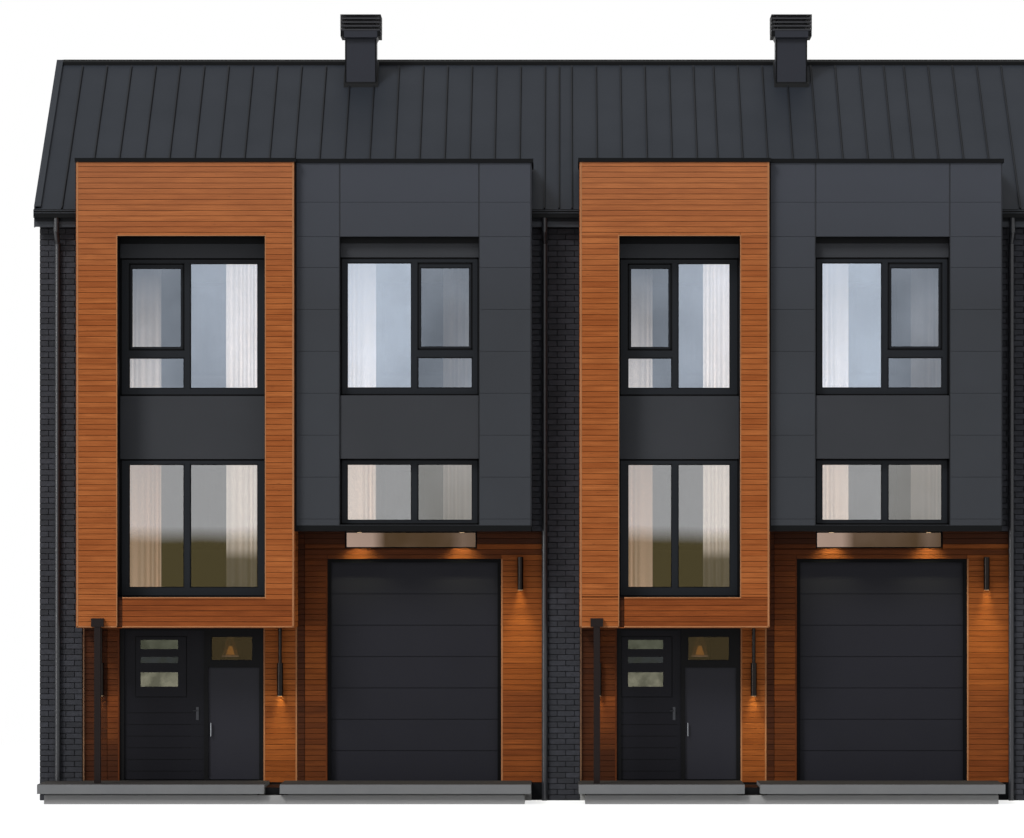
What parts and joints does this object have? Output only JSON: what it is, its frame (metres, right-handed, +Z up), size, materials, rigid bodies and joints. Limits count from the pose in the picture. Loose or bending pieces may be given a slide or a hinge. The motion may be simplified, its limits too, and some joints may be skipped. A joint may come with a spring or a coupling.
{
  "type": "terraced house row",
  "caption": "Modern terraced house row with timber and grey panel bays, standing-seam roof, louvred chimneys, hinged entrance doors and sectional garage doors.",
  "frame": {"origin": "on the ground, at the middle of the row's footprint", "axes": "+X along the row to the right, +Y from the front to the rear, +Z up"},
  "size_m": [17.1206, 8.63, 13.587],
  "materials": {
    "brick": "dark facing brick, matt",
    "concrete": "cast concrete, fine grained",
    "timber": "oiled larch boards",
    "grey_panel": "satin grey cladding panel",
    "dark_panel": "satin dark cladding panel",
    "roof_metal": "coated standing seam steel sheet",
    "roof_deck": "timber deck under the roof sheets",
    "coping_metal": "black coated steel flashing",
    "flat_roof": "roofing membrane",
    "pipe_metal": "coated steel pipe",
    "window_frame": "black powder coat",
    "glass": "clear double glazing",
    "curtain": "white sheer voile",
    "track": "white coated track",
    "garage_door": "satin black sectional panels",
    "door_paint": "satin black door leaf",
    "handle_steel": "brushed steel",
    "lamp_body": "black coated lamp body",
    "lamp_glass": "warm clear glass shade",
    "post_steel": "black coated steel post"
  },
  "bodies": {
    "root": {"ground_slabs": "concrete", "left_end_wall": "brick", "party_wall": "brick", "right_end_wall": "brick", "front_brick_piers": "brick", "rear_wall_a": "brick", "rear_wall_b": "brick", "rear_window_frames": "window_frame", "rear_window_glass": "glass", "first_floors": "concrete", "upper_floors": "concrete", "front_roof_deck": "roof_deck", "rear_roof_deck": "roof_deck", "front_roof_sheet": "roof_metal", "rear_roof_sheet": "roof_metal", "ridge_cap": "roof_metal", "verge_trims": "roof_metal", "gutters": "roof_metal", "downpipes": "pipe_metal", "chimneys": "roof_metal", "chimney_caps": "coping_metal", "bay_roofs": "flat_roof", "bay_copings": "coping_metal", "timber_bay_a": "timber", "grey_bay_a": "grey_panel", "timber_bay_b": "timber", "grey_bay_b": "grey_panel", "bay_panels": "dark_panel", "bay_window_frames": "window_frame", "opening_sashes": "window_frame", "bay_window_glass": "glass", "curtains": "curtain", "curtain_tracks": "track", "ground_timber_piers": "timber", "garage_lintels": "timber", "garage_frames": "window_frame", "garage_doors": "garage_door", "ground_floor_glass": "glass", "lamps": "lamp_body", "pendant_lamps": "lamp_glass", "entrance_posts": "post_steel", "landings": "concrete", "landing_blocks": "coping_metal", "entrance_frame_a": "window_frame", "entrance_frame_b": "window_frame"},
    "wide_door_a": {"wide_leaf_a": "door_paint", "wide_leaf_glass_a": "glass", "wide_leaf_handle_a": "handle_steel"},
    "narrow_door_a": {"narrow_leaf_a": "door_paint", "narrow_leaf_handle_a": "handle_steel"},
    "wide_door_b": {"wide_leaf_b": "door_paint", "wide_leaf_glass_b": "glass", "wide_leaf_handle_b": "handle_steel"},
    "narrow_door_b": {"narrow_leaf_b": "door_paint", "narrow_leaf_handle_b": "handle_steel"}
  },
  "joints": [
    {"name": "wide_door_hinge_a", "type": "hinge", "parent": "root", "child": "wide_door_a", "pos_m": [-7.094, -2.674, 1.5], "axis": [0, 0, 1], "range_deg": [0, 90]},
    {"name": "narrow_door_hinge_a", "type": "hinge", "parent": "root", "child": "narrow_door_a", "pos_m": [-4.776, -2.674, 1.3], "axis": [0, 0, -1], "range_deg": [0, 90]},
    {"name": "wide_door_hinge_b", "type": "hinge", "parent": "root", "child": "wide_door_b", "pos_m": [1.296, -2.674, 1.5], "axis": [0, 0, 1], "range_deg": [0, 90]},
    {"name": "narrow_door_hinge_b", "type": "hinge", "parent": "root", "child": "narrow_door_b", "pos_m": [3.274, -2.674, 1.3], "axis": [0, 0, -1], "range_deg": [0, 90]}
  ]
}
